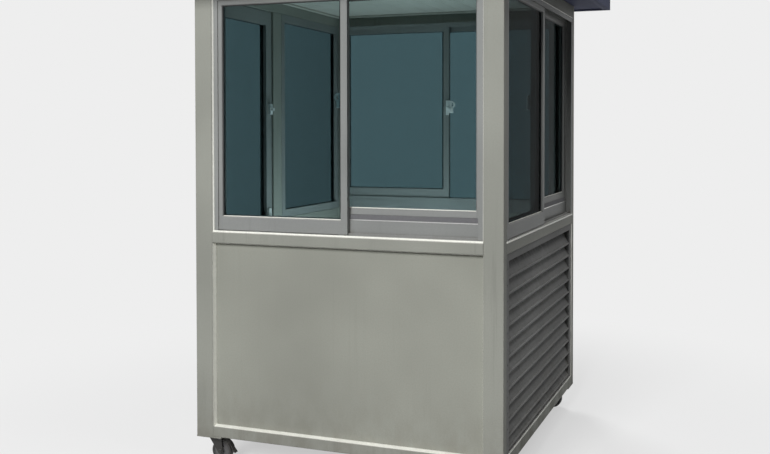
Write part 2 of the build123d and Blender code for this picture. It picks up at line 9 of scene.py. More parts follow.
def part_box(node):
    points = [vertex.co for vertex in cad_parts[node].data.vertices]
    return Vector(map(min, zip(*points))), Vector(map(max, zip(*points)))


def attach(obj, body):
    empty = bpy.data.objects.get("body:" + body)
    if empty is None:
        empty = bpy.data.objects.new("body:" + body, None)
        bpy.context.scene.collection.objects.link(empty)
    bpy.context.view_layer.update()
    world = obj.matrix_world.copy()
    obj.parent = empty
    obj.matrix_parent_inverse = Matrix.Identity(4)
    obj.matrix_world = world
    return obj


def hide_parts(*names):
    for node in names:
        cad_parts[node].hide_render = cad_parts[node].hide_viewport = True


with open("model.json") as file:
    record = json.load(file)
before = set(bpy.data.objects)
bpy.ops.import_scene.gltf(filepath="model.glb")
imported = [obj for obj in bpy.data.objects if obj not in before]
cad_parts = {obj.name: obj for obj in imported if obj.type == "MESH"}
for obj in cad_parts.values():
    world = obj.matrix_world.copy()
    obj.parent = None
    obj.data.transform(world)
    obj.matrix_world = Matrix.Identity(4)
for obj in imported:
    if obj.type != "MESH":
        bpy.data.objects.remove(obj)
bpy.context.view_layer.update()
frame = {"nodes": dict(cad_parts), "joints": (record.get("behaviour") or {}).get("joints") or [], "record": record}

bl_info = {
    "name": "Guard Booth Finish",
    "version": (1, 0, 0),
    "blender": (4, 5, 0),
    "location": "View3D > Sidebar > Booth",
    "description": "Finishes, seals, fasteners and a studio stage for the swivel-caster guard booth",
    "category": "Object",
}

MM = 0.001
WINDOWS = ("front", "right", "rear")
WALL_TURN = {"front": 0, "right": 90, "rear": 180, "left": 270}
CORNERS = ("front_left", "front_right", "rear_left", "rear_right")
DIAGONALS = ((-1, -1), (-1, 1), (1, -1), (1, 1))

# ---- sizes of the frame that its nodes' boxes don't give -------------------------------
HALF_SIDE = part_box("corner_posts")[1].x     # middle of the booth to the outer faces of its tubes
TUBE = 50 * MM                              # depth of a frame tube
JAMB = 8 * MM                               # base of a window frame's side channels
DIVIDER = 35 * MM                           # lip between the two tracks, behind the frame's face
DIVIDER_TOP = 77 * MM                       # top of that lip above the frame's foot
SASH = 26 * MM                              # depth of a sash
STILE = 34 * MM
BOTTOM_RAIL = 63 * MM
TOP_RAIL = 40 * MM
RAIL_STEP = 36 * MM                         # lower part of an inner sash's bottom rail, under its nose
RAIL_REBATE = 7 * MM                        # how far that part stands behind the nose
OVERLAP = 26 * MM                           # how far each sash reaches past the middle of its window
HALF_GLASS = 2.5 * MM
BITE = 7.5 * MM                             # glass held in the grooves of the left wall
HINGE = 90 * MM                             # length of a door hinge
BLADES = 12                                 # louvre slats
GUSSET = 132 * MM                           # side of a corner gusset
CASTER_PLATE = 4 * MM                       # thickness of a caster's mounting plate
TREAD = 10 * MM                             # depth of a wheel's tread

# ---- how trim sits on the frame --------------------------------------------------------
PRESS = 0.2 * MM                            # fasteners and gaskets pressed into what they touch
SINK = 0.5 * MM                             # beads and strips sunk into what carries them
SMOOTH_ANGLE = math.radians(38)


# ---- sizes and colours a user would change ---------------------------------------------
def colour(name, description, value):
    return bpy.props.FloatVectorProperty(
        name=name, description=description, subtype="COLOR", size=3, min=0, max=1, default=value
    )


def length(name, description, value):
    return bpy.props.FloatProperty(
        name=name, description=description, unit="LENGTH", subtype="DISTANCE", min=0, default=value
    )


def share(name, description, value):
    return bpy.props.FloatProperty(
        name=name, description=description, subtype="FACTOR", min=0, max=1, default=value
    )


class BoothFinish(bpy.types.PropertyGroup):
    """Colours of the booth's finishes."""

    frame_paint: colour("Frame paint", "Grey-beige paint of the tube frame", (0.275, 0.280, 0.250))
    panel_paint: colour("Panel paint", "Coated sheet of the lower walls", (0.282, 0.287, 0.252))
    louvre_paint: colour("Louvre paint", "Grey paint of the louvre slats", (0.262, 0.263, 0.258))
    sash_metal: colour("Sash metal", "Anodised window profiles", (0.236, 0.243, 0.237))
    roof_paint: colour("Roof paint", "Slate coating of soffit, fascia and roof", (0.066, 0.077, 0.138))
    glass_tint: colour("Glass tint", "Blue-green tint of one pane", (0.235, 0.325, 0.345))
    # Pale silicone, near white so that the beads also paint the light on the ledges and post returns where they
    # lie.
    sealant: colour("Sealant", "Pale neutral silicone", (0.88, 0.88, 0.81))
    ceiling_board: colour("Ceiling board", "Pale lining boards under the roof", (0.55, 0.53, 0.48))
    # Pale colour of faces that point up: dust, and painted top light that makes ledges read bright.
    dust_and_top_light: colour("Dust", "Dry pale dust on ledges", (0.62, 0.61, 0.57))
    dirt: colour("Dirt", "Brown-grey road dirt low down", (0.115, 0.095, 0.070))
    glass_index: bpy.props.FloatProperty(
        name="Glass index",
        description="Refractive index; kept low so that the panes mirror little of a pale room",
        min=1, max=2, default=1.02
    )
    wear: share("Wear", "How much paint is rubbed off along the edges of the tubes", 0.46)


class BoothSizes(bpy.types.PropertyGroup):
    """Sizes of the small parts added round the frame, in metres."""

    bead: length("Sealant bead", "Width of a sealant bead", 8 * MM)
    gasket: length("Gasket", "Width of a glazing gasket", 3 * MM)
    screw: length("Screw head", "Radius of a pan head screw", 3.6 * MM)
    rivet: length("Rivet", "Radius of a blind rivet head", 3.2 * MM)
    bolt: length("Bolt", "Radius across the corners of a hexagon bolt head", 7.5 * MM)
    weld: length("Weld", "Width of a weld bead", 5 * MM)


class BoothStage(bpy.types.PropertyGroup):
    """Camera, floor and lights."""

    backdrop: share("Backdrop", "Brightness of floor and background", 0.855)
    ambient: share("Ambient", "Soft light from all round", 0.10)
    key_power: bpy.props.FloatProperty(
        name="Key power", description="Power of the main soft light", unit="POWER", default=1340
    )


def finish_settings():
    return bpy.context.scene.booth_finish


def size_settings():
    return bpy.context.scene.booth_sizes


# ---- node helpers ----------------------------------------------------------------------
def rgba(value):
    return (*value, 1.0)


class Graph:
    """Short ways to add and join nodes in one node tree."""

    def __init__(self, tree):
        self.tree = tree

    def join(self, value, socket):
        """Feed a socket from another one, or give it a fixed value."""
        if isinstance(value, bpy.types.NodeSocket):
            self.tree.links.new(value, socket)
        else:
            socket.default_value = value

    def feed(self, node, **values):
        """Join values to the inputs of the same name; an underscore stands for a space."""
        for key, value in values.items():
            self.join(value, node.inputs[key.replace("_", " ")])

    def add(self, kind, inputs=None, **settings):
        made = self.tree.nodes.new(kind)
        for key, value in settings.items():
            setattr(made, key, value)
        for key, value in (inputs or {}).items():
            self.join(value, made.inputs[key])
        return made

    def math(self, operation, a, b=0.0, clamp=False):
        return self.add("ShaderNodeMath", {0: a, 1: b}, operation=operation, use_clamp=clamp).outputs[0]

    def ramp(self, value, low, high, to_low=0.0, to_high=1.0, interpolation="SMOOTHSTEP"):
        made = self.add(
            "ShaderNodeMapRange",
            {"Value": value, "From Min": low, "From Max": high, "To Min": to_low, "To Max": to_high},
            interpolation_type=interpolation,
        )
        return made.outputs["Result"]

    def mix(self, factor, under, over):
        """Pass from one colour to another; each is a socket or three numbers."""
        made = self.add("ShaderNodeMix", {0: factor}, data_type="RGBA")
        for index, paint in ((6, under), (7, over)):
            fixed = not isinstance(paint, bpy.types.NodeSocket)
            self.join(rgba(paint) if fixed else paint, made.inputs[index])
        return made.outputs[2]

    def layer(self, under, mask, amount, over):
        """Lay a colour over another where the mask is, with the given strength."""
        return self.mix(self.math("MULTIPLY", mask, amount), under, over)

    def noise(self, vector, scale, detail=3.0, roughness=0.55):
        made = self.add(
            "ShaderNodeTexNoise",
            {"Vector": vector, "Scale": scale, "Detail": detail, "Roughness": roughness},
        )
        return made.outputs["Fac"]

    def stretched(self, vector, scale):
        return self.add("ShaderNodeMapping", {"Vector": vector, "Scale": scale}).outputs["Vector"]

    def coordinates(self):
        """Coordinates of the piece itself."""
        return self.add("ShaderNodeTexCoord").outputs["Object"]

    def height_of(self, vector):
        return self.add("ShaderNodeSeparateXYZ", {0: vector}).outputs["Z"]

    def bumped(self, height, strength, distance, normal=None):
        made = self.add("ShaderNodeBump", {"Height": height, "Strength": strength, "Distance": distance})
        if normal is not None:
            self.feed(made, Normal=normal)
        return made.outputs["Normal"]


def new_group(name, inputs, outputs):
    """An empty shader node group, what it is given and its output node."""
    tree = bpy.data.node_groups.new(name, "ShaderNodeTree")
    for labels, way in ((inputs, "INPUT"), (outputs, "OUTPUT")):
        for label in labels:
            kind = "NodeSocketVector" if label in ("Normal", "Line Stretch") else "NodeSocketFloat"
            socket = tree.interface.new_socket(label, in_out=way, socket_type=kind)
            if way == "INPUT":
                socket.default_value = inputs[label]
    graph = Graph(tree)
    return graph, graph.add("NodeGroupInput").outputs, graph.add("NodeGroupOutput")


def edge_wear_group():
    """Rubbed edges: where a softened normal leaves the true one, broken up by noise."""
    inputs = {"Radius": 2 * MM, "Breakup": 60.0, "Amount": 0.5}
    graph, given, result = new_group("Edge wear", inputs, ["Mask", "Normal"])
    soft = graph.add("ShaderNodeBevel", {"Radius": given["Radius"]}, samples=4).outputs["Normal"]
    true = graph.add("ShaderNodeNewGeometry").outputs["True Normal"]
    along = graph.add("ShaderNodeVectorMath", {0: soft, 1: true}, operation="DOT_PRODUCT").outputs["Value"]
    edge = graph.ramp(along, 0.995, 0.80)
    speckle = graph.noise(graph.coordinates(), given["Breakup"], 4.0, 0.65)
    threshold = graph.math("SUBTRACT", 1.0, given["Amount"])
    rubbed = graph.ramp(graph.math("SUBTRACT", speckle, threshold), -0.12, 0.12)
    graph.feed(result, Mask=graph.math("MULTIPLY", edge, rubbed, True), Normal=soft)
    return graph.tree


def grime_group():
    """Pale dust and painted top light on ledges and other faces that point up, rain streaks down walls, splashed
    dirt near the ground, broad tone changes.
    """
    inputs = {"Splash Top": 0.55, "Streak Scale": 38.0}
    graph, given, result = new_group("Grime", inputs, ["Dust", "Streak", "Splash", "Tone"])
    where = graph.coordinates()
    level = graph.height_of(graph.add("ShaderNodeNewGeometry").outputs["Normal"])
    patches = graph.ramp(graph.noise(where, 9.0, 5.0, 0.6), 0.2, 0.8, 0.6, 1.0)
    # Faces that point up are made paler: dust, and painted top light.
    dust_and_top_light = graph.math("MULTIPLY", graph.ramp(level, 0.55, 0.95), patches)
    columns = graph.noise(graph.stretched(where, (1, 1, 0.035)), given["Streak Scale"], 4.0, 0.62)
    fade = graph.ramp(graph.noise(where, 2.2, 2.0), 0.35, 0.68)
    streak = graph.math("MULTIPLY", graph.ramp(columns, 0.52, 0.72), fade)
    low = graph.ramp(graph.height_of(where), 0.08, given["Splash Top"], 1.0, 0.0, "LINEAR")
    spatter = graph.noise(graph.stretched(where, (1, 1, 0.45)), 14.0, 6.0, 0.7)
    splash = graph.math("MULTIPLY", graph.math("POWER", low, 1.7), graph.ramp(spatter, 0.30, 0.72))
    graph.feed(result, Dust=dust_and_top_light, Streak=streak, Splash=splash, Tone=graph.noise(where, 1.3, 3.0, 0.5))
    return graph.tree


def crevice_group():
    """Darkening in corners and gaps, found by ambient occlusion: dirt that gathers there, and painted shade."""
    inputs = {"Reach": 20 * MM, "Open": 0.75}
    graph, given, result = new_group("Crevice dirt and shade", inputs, ["Mask"])
    around = graph.add("ShaderNodeAmbientOcclusion", {"Distance": given["Reach"]}, samples=4)
    shade = graph.ramp(around.outputs["AO"], given["Open"], 0.25)
    patches = graph.ramp(graph.noise(graph.coordinates(), 35.0, 4.0, 0.6), 0.3, 0.65, 0.35, 1.0)
    graph.feed(result, Mask=graph.math("MULTIPLY", shade, patches))
    return graph.tree


def grain_group():
    """Height of a sprayed coat: orange peel, fine grit and, along one axis, rolling lines."""
    inputs = {"Peel Scale": 420.0, "Line Stretch": (1.0, 1.0, 1.0)}
    graph, given, result = new_group("Coat grain", inputs, ["Height", "Speckle"])
    where = graph.coordinates()
    lined = graph.add("ShaderNodeVectorMath", {0: where, 1: given["Line Stretch"]}, operation="MULTIPLY")
    peel = graph.noise(lined.outputs[0], given["Peel Scale"], 2.0, 0.45)
    grit = graph.noise(where, 1500.0, 1.0)
    height = graph.math("ADD", graph.math("MULTIPLY", peel, 0.8), graph.math("MULTIPLY", grit, 0.2))
    graph.feed(result, Height=height, Speckle=graph.noise(where, 160.0, 2.0, 0.7))
    return graph.tree


# ---- materials -------------------------------------------------------------------------
GROUPS = {}
MATERIALS = {}


def shared(graph, name, **values):
    """Place one of the shared node groups with a material's own values."""
    placed = graph.add("ShaderNodeGroup", node_tree=GROUPS[name])
    graph.feed(placed, **values)
    return placed.outputs


def new_material(name):
    """A material kept under its name, as its graph and its shader."""
    material = bpy.data.materials.new(name)
    material.use_nodes = True
    MATERIALS[name] = material
    return Graph(material.node_tree), material.node_tree.nodes["Principled BSDF"]


def coated(name, base, under, roughness, wear=0.45, edge=1.6 * MM, peel=420.0, lines=(1, 1, 1),
           grime=1.0, variation=0.10, bump=0.12, specular=0.5, reach=0.02, corners=0.55, open_share=0.75,
           corner_dirt_and_shade=None, streaks=0.34, dust_and_top_light=0.85):
    """A coated or anodised metal: broad tone changes, streaks, dust and painted top light on faces that point up,
    dirt and painted shade in corners, and rubbed edges.
    """
    look = finish_settings()
    graph, shader = new_material(name)
    dirt = shared(graph, "grime")
    corner = shared(graph, "crevice", Reach=reach, Open=open_share)
    edges = shared(graph, "wear", Radius=edge, Breakup=75.0, Amount=wear)
    grain = shared(graph, "grain", Peel_Scale=peel, Line_Stretch=lines)
    base = Vector(base)
    coat = graph.mix(graph.ramp(dirt["Tone"], 0.3, 0.7), base * (1 - variation), base * (1 + variation))
    coat = graph.mix(graph.ramp(grain["Speckle"], 0.30, 0.75, 0.0, 0.22), coat, base * 0.72)
    coat = graph.layer(coat, dirt["Streak"], streaks * grime, base * 0.55)
    # Corners and gaps are darkened: dirt, and painted shade.
    coat = graph.layer(coat, corner["Mask"], corners, corner_dirt_and_shade or look.dirt)
    coat = graph.layer(coat, dirt["Splash"], 0.42 * grime, look.dirt)
    # Faces that point up are made paler: dust, and painted top light.
    coat = graph.layer(coat, dirt["Dust"], dust_and_top_light * grime, look.dust_and_top_light)
    soiled = graph.math("ADD", dirt["Dust"], dirt["Splash"])
    dull = graph.ramp(soiled, 0.0, 1.0, roughness, min(roughness + 0.3, 0.95))
    satin = graph.math("ADD", dull, graph.ramp(grain["Speckle"], 0.2, 0.8, -0.05, 0.06), True)
    graph.feed(shader, Base_Color=graph.mix(edges["Mask"], coat, under), Roughness=satin,
               Specular_IOR_Level=specular,
               Normal=graph.bumped(grain["Height"], bump, 0.4 * MM, edges["Normal"]))


def tinted_glass(name, tint):
    """Body-tinted float glass: darker where the look through it is long, partly from the longer path through the
    tint and partly as painted shade for the dark reflection at a slant, with a thin film of grime.
    """
    graph, shader = new_material(name)
    dirt = shared(graph, "grime", Streak_Scale=22.0)
    slant = graph.add("ShaderNodeLayerWeight", {"Blend": 0.5}).outputs["Facing"]
    tint = Vector(tint)
    # Darker at a slant: the longer path through the tint, and painted shade for the dark reflection that glass
    # shows at a slant.
    deep = graph.mix(graph.ramp(slant, 0.25, 0.80), tint, tint * 0.20)
    filmed = graph.layer(deep, dirt["Streak"], 0.25, tint * 0.8 + Vector((0.03, 0.03, 0.03)))
    graph.feed(shader, Base_Color=filmed, Roughness=graph.ramp(dirt["Streak"], 0.3, 1.0, 0.0, 0.06),
               Transmission_Weight=1.0, IOR=finish_settings().glass_index)


def rubber(name, base, roughness=0.62):
    """Moulded rubber or brushed pile with pale grit in its pores, and dust and painted top light on faces that
    point up.
    """
    graph, shader = new_material(name)
    dirt = shared(graph, "grime")
    pores = graph.noise(graph.coordinates(), 700.0, 3.0, 0.7)
    base = Vector(base)
    mottled = graph.mix(graph.ramp(pores, 0.35, 0.75), base, base * 1.9 + Vector((0.01, 0.01, 0.01)))
    # Paler on faces that point up: dust, and painted top light.
    dusty = graph.layer(mottled, dirt["Dust"], 0.5, finish_settings().dust_and_top_light)
    grey = graph.layer(dusty, dirt["Splash"], 0.35, (0.11, 0.10, 0.085))
    graph.feed(shader, Base_Color=grey, Normal=graph.bumped(pores, 0.25, 0.3 * MM),
               Roughness=graph.ramp(pores, 0.3, 0.8, roughness - 0.08, roughness + 0.15))


def silicone(name, base):
    """Hand-run sealant: soft lumps, a slight sheen and trapped dirt."""
    graph, shader = new_material(name)
    dirt = shared(graph, "grime")
    lumps = graph.noise(graph.stretched(graph.coordinates(), (1, 1, 0.5)), 90.0, 3.0, 0.6)
    base = Vector(base)
    mottled = graph.mix(graph.ramp(lumps, 0.3, 0.7), base * 0.94, base * 1.03)
    streaked = graph.layer(mottled, dirt["Streak"], 0.22, base * 0.5)
    soiled = graph.layer(streaked, dirt["Splash"], 0.15, finish_settings().dirt)
    graph.feed(shader, Base_Color=soiled, Roughness=graph.ramp(lumps, 0.2, 0.8, 0.34, 0.5),
               Normal=graph.bumped(lumps, 0.3, 0.5 * MM))


def plated(name, base, roughness, tarnish, metallic=0.85):
    """Zinc or chrome plating with fine scratches and dull spots."""
    graph, shader = new_material(name)
    where = graph.coordinates()
    spots = graph.ramp(graph.noise(where, 240.0, 4.0, 0.7), 0.5, 0.72)
    scratches = graph.noise(graph.stretched(where, (1, 1, 0.06)), 900.0, 2.0)
    corner = shared(graph, "crevice", Reach=6 * MM)
    edges = shared(graph, "wear", Radius=0.7 * MM)
    base = Vector(base)
    toned = graph.layer(base, spots, tarnish, base * 0.45)
    # Corners and gaps are darkened: dirt, and painted shade.
    soiled = graph.layer(toned, corner["Mask"], 0.6, finish_settings().dirt)
    graph.feed(shader, Base_Color=soiled, Metallic=metallic,
               Roughness=graph.ramp(spots, 0, 1, roughness, roughness + 0.28),
               Normal=graph.bumped(scratches, 0.05, 0.2 * MM, edges["Normal"]))


def vinyl(name):
    """Speckled sheet vinyl with scuffs."""
    graph, shader = new_material(name)
    where = graph.coordinates()
    chips = graph.add("ShaderNodeTexVoronoi", {"Vector": where, "Scale": 130.0}).outputs["Color"]
    level = graph.add("ShaderNodeRGBToBW", {0: chips}).outputs[0]
    scuff = graph.ramp(graph.noise(graph.stretched(where, (1, 6, 1)), 7.0, 5.0, 0.7), 0.55, 0.7)
    speckled = graph.mix(graph.ramp(level, 0.2, 0.8), (0.20, 0.20, 0.19), (0.33, 0.33, 0.31))
    worn = graph.layer(speckled, scuff, 0.4, (0.12, 0.115, 0.10))
    graph.feed(shader, Base_Color=worn, Roughness=graph.ramp(scuff, 0, 1, 0.35, 0.6),
               Normal=graph.bumped(level, 0.08, 0.3 * MM))


def make_paints():
    """The coated metals: frame, panels, louvre, windows, roof, casters, welds and ceiling."""
    look = finish_settings()
    primer, steel = (0.36, 0.36, 0.34), (0.30, 0.30, 0.31)
    bare_metal, chalk = (0.5, 0.5, 0.52), (0.6, 0.6, 0.58)
    coated("frame_paint", look.frame_paint, primer, 0.52, wear=look.wear, specular=0.12)
    coated("panel_paint", look.panel_paint, primer, 0.60, wear=0.40, peel=300.0, specular=0.12,
           streaks=0.12, grime=0.8)
    # The louvre's near-black corner darkening, reaching 100 mm, is painted shadow under each slat's lip.
    coated("louvre_paint", look.louvre_paint, primer, 0.60, wear=0.05, edge=1.0 * MM, specular=0.05,
           reach=0.10, corners=0.95, open_share=1.0, corner_dirt_and_shade=(0.018, 0.018, 0.017), variation=0.16,
           dust_and_top_light=0.08)
    # Its corner darkening also paints the shade in the recessed jambs and rails beside the tubes.
    coated("sash_metal", look.sash_metal, bare_metal, 0.45, wear=0.42, edge=0.9 * MM, peel=700.0,
           grime=0.7, bump=0.05, specular=0.15, reach=0.03, corners=0.5)
    coated("roof_paint", look.roof_paint, primer, 0.62, wear=0.35, grime=0.6, specular=0.06, dust_and_top_light=0.42)
    coated("caster_metal", (0.020, 0.020, 0.020), steel, 0.42, wear=0.50, edge=0.9 * MM, grime=0.35,
           variation=0.2)
    coated("weld", Vector(look.frame_paint) * 0.94, primer, 0.5, wear=0.35, peel=200.0, bump=0.25)
    coated("ceiling_board", look.ceiling_board, chalk, 0.55, wear=0.1, peel=260.0, lines=(1, 0.08, 1),
           grime=0.4, specular=0.2)


def make_materials():
    look = finish_settings()
    GROUPS.update(wear=edge_wear_group(), grime=grime_group(), crevice=crevice_group(), grain=grain_group())
    make_paints()
    tinted_glass("tinted_glass", look.glass_tint)
    silicone("sealant", look.sealant)
    vinyl("floor_sheet")
    plated("lock_metal", (0.93, 0.93, 0.91), roughness=0.3, tarnish=0.15, metallic=0.35)
    # Bright cap metal, which also paints the highlight along the tops of the track lips.
    plated("bright_track", (0.66, 0.66, 0.65), roughness=0.35, tarnish=0.3)
    plated("zinc", (0.55, 0.57, 0.60), roughness=0.30, tarnish=0.5)
    rubber("wheel_rubber", (0.022, 0.022, 0.023))
    rubber("gasket", (0.05, 0.05, 0.052), roughness=0.55)
    rubber("pile", (0.10, 0.10, 0.105), roughness=0.85)
    rubber("hub_plastic", (0.06, 0.06, 0.062), roughness=0.45)


# ---- modelling helpers -----------------------------------------------------------------
def only(piece):
    """Select and activate one object."""
    bpy.ops.object.select_all(action="DESELECT")
    piece.select_set(True)
    bpy.context.view_layer.objects.active = piece


def begin(kind, scale=(1, 1, 1), **place):
    """Add a primitive with nothing else selected, and put its place, turn and size into its mesh."""
    bpy.ops.object.select_all(action="DESELECT")
    getattr(bpy.ops.mesh, f"primitive_{kind}_add")(**place)
    piece = bpy.context.object
    piece.scale = scale
    only(piece)
    bpy.ops.object.transform_apply(location=True, rotation=True, scale=True)
    return piece


def apply_modifier(piece, kind, **settings):
    only(piece)
    modifier = piece.modifiers.new(kind.lower(), kind)
    for key, value in settings.items():
        setattr(modifier, key, value)
    bpy.ops.object.modifier_apply(modifier=modifier.name)


def rounded(piece, width, segments=2):
    """Round the sharp edges of a piece."""
    apply_modifier(piece, "BEVEL", width=width, segments=segments, limit_method="ANGLE")
    return piece


@contextmanager
def picked(piece, wanted=lambda face: True):
    """Edit a piece with only those faces selected for which wanted(face) holds."""
    bpy.ops.object.mode_set(mode="EDIT")
    bpy.ops.mesh.select_mode(type="FACE")
    bpy.ops.mesh.select_all(action="DESELECT")
    bpy.ops.object.mode_set(mode="OBJECT")
    for face in piece.data.polygons:
        face.select = wanted(face)
    bpy.ops.object.mode_set(mode="EDIT")
    yield
    bpy.ops.object.mode_set(mode="OBJECT")


def step(inward, move):
    """Inset the picked faces and move the new ones."""
    bpy.ops.mesh.inset(thickness=inward)
    bpy.ops.transform.translate(value=move)


def bar(low, high, bevel=1 * MM, segments=2):
    """A rounded bar that fills the box from low to high."""
    low, high = Vector(low), Vector(high)
    made = begin("cube", high - low, size=1, location=(low + high) / 2)
    with picked(made):
        bpy.ops.mesh.bevel(offset=bevel, segments=segments, affect="EDGES")
    return made


def upright_sheet(low, high, y):
    """A flat face towards -Y that reaches from low to high and stands at the given y."""
    return begin("plane", (high.x - low.x, high.z - low.z, 1), size=1, rotation=(math.pi / 2, 0, 0),
                 location=((low.x + high.x) / 2, y, (low.z + high.z) / 2))


def ring(low, high, width, front, back):
    """A mitred upright frame inside the opening from low to high."""
    made = upright_sheet(low, high, front)
    with picked(made):
        bpy.ops.mesh.inset(thickness=width)
        bpy.ops.mesh.delete(type="FACE")
    apply_modifier(made, "SOLIDIFY", thickness=back - front, offset=-1, use_even_offset=True)
    return rounded(made, 1 * MM)


def cove(low, high, across, deep):
    """A hand-run cove of sealant between a recessed sheet and the frame that stands round it."""
    made = upright_sheet(low, high, low.y - deep)
    skin = 0.3 * across
    with picked(made):
        bpy.ops.mesh.inset(thickness=skin, depth=-0.6 * deep)
        bpy.ops.mesh.inset(thickness=across - skin, depth=-0.4 * deep)
        bpy.ops.mesh.delete(type="FACE")
    apply_modifier(made, "SOLIDIFY", thickness=skin, offset=-1, use_even_offset=True)
    return rounded(made, 0.05 * across, 1)


def domed_head(radius, height, recess=False, vertices=14):
    """A screw, rivet or bolt head that stands on z = 0: a short cylinder, domed by insets."""
    made = begin("cylinder", vertices=vertices, radius=radius, depth=height * 0.6,
                 location=(0, 0, height * 0.3))
    with picked(made, lambda face: face.normal.z > 0.9):
        step(radius * 0.28, (0, 0, height * 0.3))
        step(radius * 0.30, (0, 0, height * 0.1))
        if recess:
            step(radius * 0.06, (0, 0, -height * 0.45))
    return made


def joined(made):
    only(made[0])
    for one in made[1:]:
        one.select_set(True)
    if len(made) > 1:
        bpy.ops.object.join()
    return bpy.context.object


def copies(model, places):
    """One object made of copies of a model at each matrix; the model itself is removed."""
    made = []
    for place in places:
        one = model.copy()
        one.data = model.data.copy()
        one.data.transform(place)
        bpy.context.scene.collection.objects.link(one)
        made.append(one)
    bpy.data.objects.remove(model)
    return joined(made)


def turn_to(wall):
    """Rotation that takes a piece from the front wall to another wall."""
    return Matrix.Rotation(math.radians(WALL_TURN[wall]), 4, "Z")


def on_wall(wall, place, degrees=90, axis="X"):
    """Matrix for a z-up fastener at a place on a wall; it points out of the wall unless told otherwise."""
    return turn_to(wall) @ Matrix.Translation(place) @ Matrix.Rotation(math.radians(degrees), 4, axis)


def on_every_wall(pieces):
    """Pieces modelled on the front wall, copied to all four walls and joined."""
    return copies(joined(pieces), [turn_to(wall) for wall in WALL_TURN])


def finished(piece, name, material, body="booth"):
    """Name and smooth a piece, give it its material and slot, and let it ride on its body."""
    piece.name = piece.data.name = name
    piece.data.materials.clear()
    piece.data.materials.append(MATERIALS[material])
    only(piece)
    bpy.ops.object.shade_smooth_by_angle(angle=SMOOTH_ANGLE)
    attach(piece, body)


def fitted(pieces, wall, name, material):
    """Join pieces modelled on the front wall, turn them to their own wall and finish them."""
    whole = joined(pieces)
    whole.data.transform(turn_to(wall))
    finished(whole, name, material)


def wall_box(node, wall):
    """Box of a CAD node as seen on its wall: x along, y into the wall, z up."""
    back = Matrix.Rotation(math.radians(-WALL_TURN[wall]), 3, "Z")
    a, b = (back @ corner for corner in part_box(node))
    return Vector(map(min, a, b)), Vector(map(max, a, b))


def clear_opening(low, high, glass, side, foot, head):
    """Lowest and highest corner of the opening inside a box, in the plane of its glass."""
    return Vector((low.x + side, glass, low.z + foot)), Vector((high.x - side, glass, high.z - head))


def all_panes():
    """Name, wall and clear opening of every pane."""
    for wall in WINDOWS:
        for track in ("outer", "inner"):
            low, high = wall_box(f"{wall}_{track}_sash", wall)
            glass = low.y + SASH / 2 if track == "outer" else high.y - SASH / 2
            yield f"{wall}_{track}", wall, *clear_opening(low, high, glass, STILE, BOTTOM_RAIL, TOP_RAIL)
    for name, node in (("left_light", "left_glass"), ("door_light", "door_glass")):
        low, high = wall_box(node, "left")
        yield name, "left", *clear_opening(low, high, (low.y + high.y) / 2, BITE, BITE, BITE)


# ---- finishes and pieces ---------------------------------------------------------------
class AddOperator(bpy.types.Operator):
    """Common ground of the operators below."""

    bl_options = {"REGISTER", "UNDO"}


class BOOTH_OT_materials(AddOperator):
    """Build every material and lay it on the frame's own nodes"""

    bl_idname = "booth.materials"
    bl_label = "Lay Finishes"

    def execute(self, context):
        make_materials()
        for part in frame["record"]["subparts"]:
            node = frame["nodes"][part["node"]]
            node.data.materials.clear()
            node.data.materials.append(MATERIALS[part["material_slot"]])
        frame["nodes"]["caster_plates"].data.materials[0] = MATERIALS["zinc"]
        return {"FINISHED"}


class BOOTH_OT_gaskets(AddOperator):
    """Press a glazing gasket round both sides of every pane"""

    bl_idname = "booth.gaskets"
    bl_label = "Fit Glazing Gaskets"

    def execute(self, context):
        size = size_settings().gasket
        for name, wall, low, high in all_panes():
            front, back = low.y - HALF_GLASS, low.y + HALF_GLASS
            outside = ring(low, high, size, front - size, front + PRESS)
            inside = ring(low, high, size, back - PRESS, back + size)
            fitted([outside, inside], wall, f"{name}_gasket", "gasket")
        return {"FINISHED"}


class BOOTH_OT_panel_seals(AddOperator):
    """Run a bead of sealant round each lower wall panel"""

    bl_idname = "booth.panel_seals"
    bl_label = "Seal Panels"

    def execute(self, context):
        bead = size_settings().bead
        for wall in ("front", "rear", "left"):
            low, high = wall_box(f"{wall}_panel", wall)
            # The cove reaches most of the way up the post returns; there and on the ledge below, its pale sealant
            # also paints the light on them.
            made = cove(low, high, 0.7 * bead, 0.9 * (low.y + HALF_SIDE))
            fitted([made], wall, f"{wall}_panel_seal", "sealant")
        return {"FINISHED"}


def seal_recessed_window(wall, bead):
    """A cove all round a window frame that lies behind the tubes, and a full bead on its sill."""
    low, high = wall_box(f"{wall}_window_frame", wall)
    around = cove(low, high, 0.5 * bead, 0.7 * (low.y + HALF_SIDE))
    # The sill bead also paints the highlight along the sill rail's top edge.
    sill = bar((low.x, -HALF_SIDE + 1 * MM, low.z - SINK),
               (high.x, low.y + SINK, low.z + bead), 0.35 * bead, 3)
    fitted([around, sill], wall, f"{wall}_window_seal", "sealant")


def seal_flush_window():
    """Beads over the joints above and below the right window, which is flush with the tubes."""
    low, high = wall_box("right_window_frame", "right")
    past, proud, back = 2 * MM, 2.2 * MM, low.y + 1 * MM
    left, right, face = low.x - past, high.x + past, -HALF_SIDE - proud
    head = bar((left, face, high.z - 2.5 * MM), (right, back, high.z + 2 * MM))
    sill = bar((left, face - 0.6 * MM, low.z - 3 * MM), (right, back, low.z + 5 * MM), 1.4 * MM)
    fitted([head, sill], "right", "right_window_seal", "sealant")


